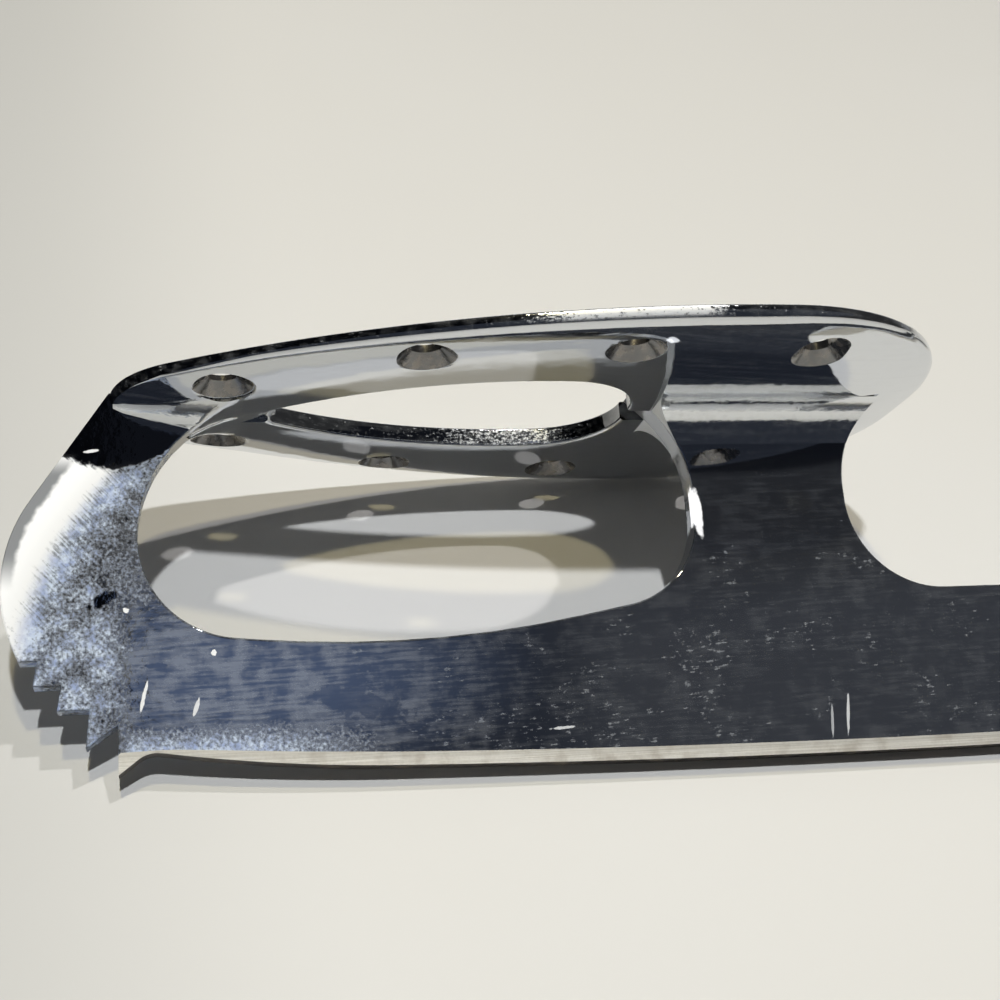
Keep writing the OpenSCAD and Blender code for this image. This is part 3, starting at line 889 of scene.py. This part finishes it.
def sideFilm(vector, x, z):
    streaks = useGroup(markSpread, Vector=vector, Level=ramp(x, *film["level"]), **film["streaks"])
    marks = times(streaks, *ramps(film, (x, "front", "strength"), (z, "top")))
    strewn = times(*ramps(film, (z, "strewnTop"), (x, "strewnFrom", "strewnTo")), film["strewn"])
    level = most(cloudAt(vector, *film["patches"]), strewn)
    flecks = useGroup(markSpread, Vector=vector, Level=level, **film["flecks"])
    marks = most(marks, times(flecks, ramp(z, *film["fleckTop"]), film["fleck"]))
    return calc("ADD", marks, times(*ramps(film, (x, "veilAlong"), (z, "veilTop"))))


def gatherMarks(vector, near):  # the marks of each kind in one mask, on the near side only; the glint kind is a painted glint
    gathered = {}
    for kind, listed in sideMarks.items():
        mask = 0.0
        for mx, mz, halfX, halfZ, turn, ragged, grain, strength in listed:
            mark = useGroup(spotMask, Vector=vector, X=mx, Z=mz, Half_X=halfX, Half_Z=halfZ, Turn=turn,
                            Ragged=ragged, Grain=grain)
            mask = most(mask, times(mark, strength))
        gathered[kind] = times(mask, near)
    return gathered


def makeBlankChrome():
    material, shader, vector = startMetal("blankChrome")
    axes = axesOf(vector)
    x, z = axes[0], axes[2]
    bloom, behind = toeBloom(vector, x, z)
    strip = noseStrip(vector, x, z)
    marks = sideFilm(vector, x, z)
    worn = gatherMarks(vector, calc("LESS_THAN", axes[1], 0.0))
    # the middle post's front edge is duller under the plate
    flare = times(*ramps(chrome, (facingOf(shader)[0], "flareTurn"), (x, "flareAlong"), (z, "flareUp")))
    dull = most(most(bloom, marks), times(flare, chrome["flareDull"]))
    dull = times(dull, minus(1.0, worn["dark"]))
    dull = most(dull, worn["bright"])
    wash = blend(cloudAt(vector, *chrome["tint"]), *chrome["wash"])
    thin = blend(ramp(x, *chrome["thinAlong"]), *chrome["thin"])
    pale = blend(ramp(dull, *chrome["thick"]), thin, wash)
    # painted highlight: the bloom whitens towards the nose, standing in for a lamp's reflection; the bright wear
    # marks whiten with it
    paintedHighlight = minus(1.0, calc("DIVIDE", behind, chrome["highlightWidth"]))
    highlightAndWearWhite = ramp(most(paintedHighlight, worn["bright"]), *chrome["whiten"])
    pale = blend(highlightAndWearWhite, pale, (1, 1, 1))
    pale = blend(flare, pale, chrome["flare"])
    pale = blend(strip, pale, nose["colour"])
    left = times(dull, scaled(strip, nose["bloomLost"], 1.0))
    dull = most(left, times(strip, nose["dull"]))
    polish(shader, dull, pale, chrome)
    feed(shader, Specular_IOR_Level=0.0)
    # painted highlight: near the nose the toe's bloom glows a little, standing in for a lamp's reflection; the
    # painted glint joins it in the emission
    paintedGlare = times(ramp(behind, *toe["paintedGlareFrom"]), bloom, minus(toe["paintedGlare"], times(strip, toe["paintedGlare"])))
    shine = most(worn["paintedGlint"], paintedGlare)
    feed(shader, Emission_Color=blend(shine, (0, 0, 0), (1, 1, 1)), Emission_Strength=1.0)
    wavy = scaled(noiseAt(vector, *chrome["wave"]), ramp(x, *chrome["waveAlong"]), times(dull, chrome["raised"]))
    dent(shader, wavy, chrome)
    return material


ground = {  # bare ground steel along the running edge, with painted shade on the hollow, which faces the table
    "lines": {"Turn": 0.0, "Long": 22.0, "Short": 0.14, "Grain": 0.4, "Mix": 0.2, "Level": 0.5, "Soft": 0.4},
    "tones": ((0.66, 0.63, 0.57), (0.92, 0.9, 0.84)), "upperFrom": (0.4, 0.7), "upperShare": 0.25,
    "upper": (0.34, 0.33, 0.31), "hollowTurn": (-0.5, -0.8), "hollow": (0.1, 0.09, 0.085),
    "stains": (0.3, 4.0, 0.45, 0.75), "stainShare": 0.5, "stain": (0.36, 0.31, 0.25),
    "metal": (0.0, 130.0, 0.25, 0.4), "rough": (-0.1, 0.46), "dent": (0.25, 0.00004),
}


def makeGroundSteel():
    material, shader, vector = startMetal("groundSteel")
    axes = axesOf(vector)
    lines = useGroup(markSpread, Vector=vector, **ground["lines"])
    stain = cloudAt(vector, *ground["stains"])
    bare = blend(lines, *ground["tones"])
    low, rocker = blank["rocker"]
    off = minus(axes[0], low)
    height = scaled(times(off, off), -0.5 / rocker, axes[2])
    upperLow, upperHigh = [share * blank["stripH"] for share in ground["upperFrom"]]
    bare = blend(ramp(height, upperLow, upperHigh, 0.0, ground["upperShare"]), bare, ground["upper"])
    # painted shade: the hollow is darkened as if it lay in the contact shadow on the table
    bare = blend(ramp(facingOf(shader)[2], *ground["hollowTurn"]), bare, ground["hollow"])
    feed(shader, Base_Color=blend(times(stain, ground["stainShare"]), bare, ground["stain"]),
         Metallic=ramp(axes[0], *ground["metal"]), Roughness=scaled(lines, *ground["rough"]))
    dent(shader, lines, ground)
    return material


plating = {  # both plates; scuffs are given for the opening's wall, then how much more on the rim, and their white is partly wear, partly a painted highlight of lamp sparkle
    "smear": {"Turn": 8.0, "Long": 18.0, "Short": 1.1, "Grain": 1.4, "Mix": 0.35, "Level": 0.3, "Soft": 0.3},
    "smearShare": 0.1, "wallTurn": (0.75, 0.3), "rimFrom": 18.0,
    "scuffAndSparkle": {"Turn": 0.0, "Long": 1.1, "Short": 0.35, "Grain": 0.4, "Mix": 0.55, "Soft": 0.3},
    "scuffFrom": (40.0, 10.0), "scuffFull": (62.0, 2.0), "scuffUntil": (73.0, 11.0), "scuffFade": 8.0,
    "scuffLevel": (0.4, 0.34), "scuffLeast": 0.05,
    "corner": (68.0, 73.0, 0.0, 0.8), "cornerTone": (0.05, 0.052, 0.055),
    "bare": (0.66, 0.68, 0.71), "worn": (0.9, 0.91, 0.93), "lessMetal": 0.7, "rough": (0.35, 0.045),
    "ripple": (0.16, 2.0), "dent": (0.07, 0.0006),
}


def makePlateChrome():
    material, shader, vector = startMetal("plateChrome")
    axes = axesOf(vector)
    quarter = {"Vector": vector, "Angle": math.pi / 2}
    turnedUp = addNode("VectorRotate", quarter, rotation_type="X_AXIS").outputs[0]
    smear = useGroup(markSpread, Vector=turnedUp, **plating["smear"])
    wall = ramp(calc("ABSOLUTE", facingOf(shader)[2]), *plating["wallTurn"])
    onRim = calc("GREATER_THAN", calc("ABSOLUTE", axes[1]), plating["rimFrom"])

    def onEither(name):
        onWall, more = plating[name]
        return scaled(onRim, more, onWall)

    start, until = onEither("scuffFrom"), onEither("scuffUntil")
    place = times(ramp(axes[0], start, onEither("scuffFull")),
                  ramp(axes[0], until, minus(until, plating["scuffFade"])))
    level = scaled(place, onEither("scuffLevel"), plating["scuffLeast"])
    scuffAndSparkle = useGroup(markSpread, Vector=vector, Level=level, **plating["scuffAndSparkle"])
    # partly wear, partly painted highlight: the scuffs' white stands in for a lamp's sparkle on the wall and the rim
    worn = times(scuffAndSparkle, wall)
    dull = most(worn, times(smear, plating["smearShare"]))
    # the opening's inner wall is much darker towards its rear corners
    inCorner = times(minus(wall, times(wall, onRim)), ramp(axes[0], *plating["corner"]))
    bare = blend(inCorner, plating["bare"], plating["cornerTone"])
    polish(shader, dull, plating["worn"], plating, bare)
    dent(shader, noiseAt(vector, *plating["ripple"]), plating)
    return material


brazing = {  # smeared a little, and duller where a fillet looks towards the toe
    "smear": {"Turn": 0.0, "Long": 9.0, "Short": 0.8, "Grain": 0.9, "Mix": 0.5, "Level": 0.34, "Soft": 0.3},
    "smearShare": 0.16, "frontTurn": (-0.35, -0.65), "frontShare": 0.5,
    "bare": (0.7, 0.72, 0.74), "worn": (0.9, 0.9, 0.91), "lessMetal": 0.8, "rough": (0.5, 0.1),
    "ripple": (0.5, 3.0), "dent": (0.2, 0.0004),
}


def makeBrazeChrome():
    material, shader, vector = startMetal("brazeChrome")
    smear = useGroup(markSpread, Vector=vector, **brazing["smear"])
    facing = facingOf(shader)
    dull = times(smear, brazing["smearShare"])
    front = times(ramp(facing[0], *brazing["frontTurn"]), brazing["frontShare"])
    polish(shader, most(dull, front), brazing["worn"], brazing)
    dent(shader, noiseAt(vector, *brazing["ripple"]), brazing)
    return material


bore = {  # darker, duller metal inside the countersinks
    "cloud": (0.7, 3.0, 0.35, 0.7), "tones": ((0.2, 0.2, 0.2), (0.3, 0.28, 0.26)), "metal": 0.95,
    "rough": (0.12, 0.2), "dent": (0.15, 0.0001),
}


def makeBoreSteel():
    material, shader, vector = startMetal("boreSteel")
    cloud = cloudAt(vector, *bore["cloud"])
    feed(shader, Base_Color=blend(cloud, *bore["tones"]), Metallic=bore["metal"],
         Roughness=scaled(cloud, *bore["rough"]))
    dent(shader, cloud, bore)
    return material


blankChrome, groundSteel = makeBlankChrome(), makeGroundSteel()
plateChrome, brazeChrome, boreSteel = makePlateChrome(), makeBrazeChrome(), makeBoreSteel()
finishPiece(bladeBlank, ["blade_blank"], "blank_chrome", blankChrome, groundSteel)
finishPiece(solePlate, ["sole_plate"], "plate_chrome", plateChrome, boreSteel)
finishPiece(heelPlate, ["heel_plate"], "plate_chrome", plateChrome, boreSteel)
for node, piece in fillets.items():
    finishPiece(piece, [node], "braze_chrome", brazeChrome)
print("finishes on", len(fillets) + 3, "pieces")


# table, room, lamps and camera
table = {"through": (118.0, 2.0, 0.0), "tilt": (33.4, 53.7), "size": 4.0, "colour": (0.72, 0.71, 0.69),
         "warm": (0.985, 0.98, 0.97), "cloud": (0.006, 3.0, 0.35, 0.65), "rough": 0.65, "gloss": 0.2,
         "shadeTone": (0.575, 0.57, 0.555), "shadeAlong": (-40.0, -110.0)}  # painted shade: a little darker beside the toe
tableUp = Vector((0, *table["tilt"])).normalized()
tableOut = Vector((0, -table["tilt"][1], table["tilt"][0])).normalized()
room = {"at": -1000.0, "wide": (-1700.0, 1500.0), "tall": (-1750.0, 610.0), "navy": (0.027, 0.031, 0.041),
        "black": (0.007, 0.008, 0.011), "blue": (0.1, 0.135, 0.22), "glow": (60.0, 205.0, 170.0, 70.0),
        "dusk": (230.0, 330.0), "glowFade": (1.6, 0.2),
        "side": {"at": -15.0, "deep": (-700.0, 44.0), "tall": (40.0, 420.0)}}


def makeTable():
    plane = addMesh("table", bpy.ops.mesh.primitive_plane_add, size=table["size"], location=spot(*table["through"]))
    plane.rotation_mode = "QUATERNION"
    plane.rotation_quaternion = tableOut.to_track_quat("Z", "Y")
    material, shader, vector = startMetal("tableTop")
    cloud = cloudAt(vector, *table["cloud"])
    warm = tuple(c * f for c, f in zip(table["colour"], table["warm"]))
    along = axesOf(vector)[0]
    tone = blend(ramp(along, *table["shadeAlong"]), blend(cloud, table["colour"], warm), table["shadeTone"])
    feed(shader, Base_Color=tone, Roughness=table["rough"], Metallic=0.0, Specular_IOR_Level=table["gloss"])
    tree = material.node_tree
    facing = addNode("NewGeometry", {}, tree).outputs["Backfacing"]
    clear = addNode("BsdfTransparent", {}, tree).outputs[0]
    mix = addNode("MixShader", {0: facing, 1: shader.outputs[0], 2: clear})
    give(tree.nodes["Material Output"].inputs["Surface"], mix.outputs[0])
    plane.data.materials.append(material)


def makeCard(name, corners, material):  # seen by nothing but the polish
    card = addMesh(name, bpy.ops.mesh.primitive_plane_add, size=1.0, location=(0, 0, 0))
    for vertex, corner in zip(card.data.vertices, corners):
        vertex.co = spot(*corner)
    card.data.materials.append(material)
    card.visible_camera = card.visible_diffuse = card.visible_shadow = card.visible_transmission = False


def makeRoom():  # the dark room in front of the blade and beside its toe
    material, vector = startMetal("roomTone")[::2]
    axes = axesOf(vector)
    tone = blend(ramp(axes[2], *room["dusk"]), room["navy"], room["black"])
    glowX, glowZ, glowWidth, glowHeight = room["glow"]
    aside = calc("DIVIDE", minus(axes[0], glowX), glowWidth)
    above = calc("DIVIDE", minus(axes[2], glowZ), glowHeight)
    tone = blend(ramp(lengthOf(aside, above), *room["glowFade"]), tone, room["blue"])
    glow = addNode("Emission", {"Color": tone, "Strength": 1.0}).outputs[0]
    give(material.node_tree.nodes["Material Output"].inputs["Surface"], glow)
    makeCard("roomCard", [(x, room["at"], z) for z in room["tall"] for x in room["wide"]], material)
    side = room["side"]
    plain, plainShader = startMetal("sideTone")[:2]
    feed(plainShader, Base_Color=(*room["black"], 1), Roughness=1.0, Specular_IOR_Level=0.0)
    makeCard("sideCard", [(side["at"], y, z) for z in side["tall"] for y in side["deep"]], plain)


makeTable()
makeRoom()

lamps = {  # lean along the blade and up the table, distance, disc, power, colour, whether polish mirrors it
    "front": ((-0.055, -0.23), 1.0, 0.034, 6.2, (0.94, 0.97, 1.0), False),
    "side": ((0.25, 0.25), 1.4, 0.05, 5.2, (1.0, 0.98, 0.97), True),
    "warm": ((-0.08, 0.07), 1.4, 0.07, 4.2, (1.0, 0.88, 0.52), True),
}
lampAim = spot(50.0, 10.0, 30.0)
for name, (lean, away, size, power, colour, mirrored) in lamps.items():
    way = (tableOut + Vector((1, 0, 0)) * lean[0] + tableUp * lean[1]).normalized()
    bpy.ops.object.light_add(type="AREA", location=lampAim + way * away)
    light = bpy.context.object
    light.name = name + "Lamp"
    light.rotation_mode = "QUATERNION"
    light.rotation_quaternion = way.to_track_quat("Z", "Y")
    light.data.shape = "DISK"
    light.data.size = size
    light.data.energy = power
    light.data.color = colour
    light.visible_glossy = mirrored

sky = {"seen": (0.86, 0.87, 0.88), "dark": 0.035, "pale": 0.6, "fill": 0.09, "turn": (-0.1, 0.6)}


def makeSky():
    world = bpy.data.worlds.new("studio")
    bpy.context.scene.world = world
    world.use_nodes = True
    tree = world.node_tree
    rays = addNode("LightPath", {}, tree).outputs
    inPolish = most(rays["Is Glossy Ray"], rays["Is Transmission Ray"])
    way = axesOf(addNode("TexCoord", {}, tree).outputs["Generated"])
    mirrored = ramp(way[1], *sky["turn"], sky["dark"], sky["pale"])  # dark in front of the blade, pale behind it
    strength = ramp(inPolish, 0.0, 1.0, sky["fill"], mirrored)
    strength = most(strength, rays["Is Camera Ray"])
    feed(tree.nodes["Background"], Color=(*sky["seen"], 1), Strength=strength)


makeSky()

view = {"place": (-0.03623556, -0.21943977, -0.08232112), "turn": (106.44801, 4.43106, -11.51278), "lens": 57.40028}
bpy.ops.object.camera_add(location=view["place"], rotation=[math.radians(a) for a in view["turn"]])
camera = bpy.context.object
camera.data.lens = view["lens"]
camera.data.sensor_width = 36
camera.data.clip_start = 0.01
bpy.context.scene.camera = camera
bpy.context.scene.view_settings.view_transform = "Standard"

print("scene ready")
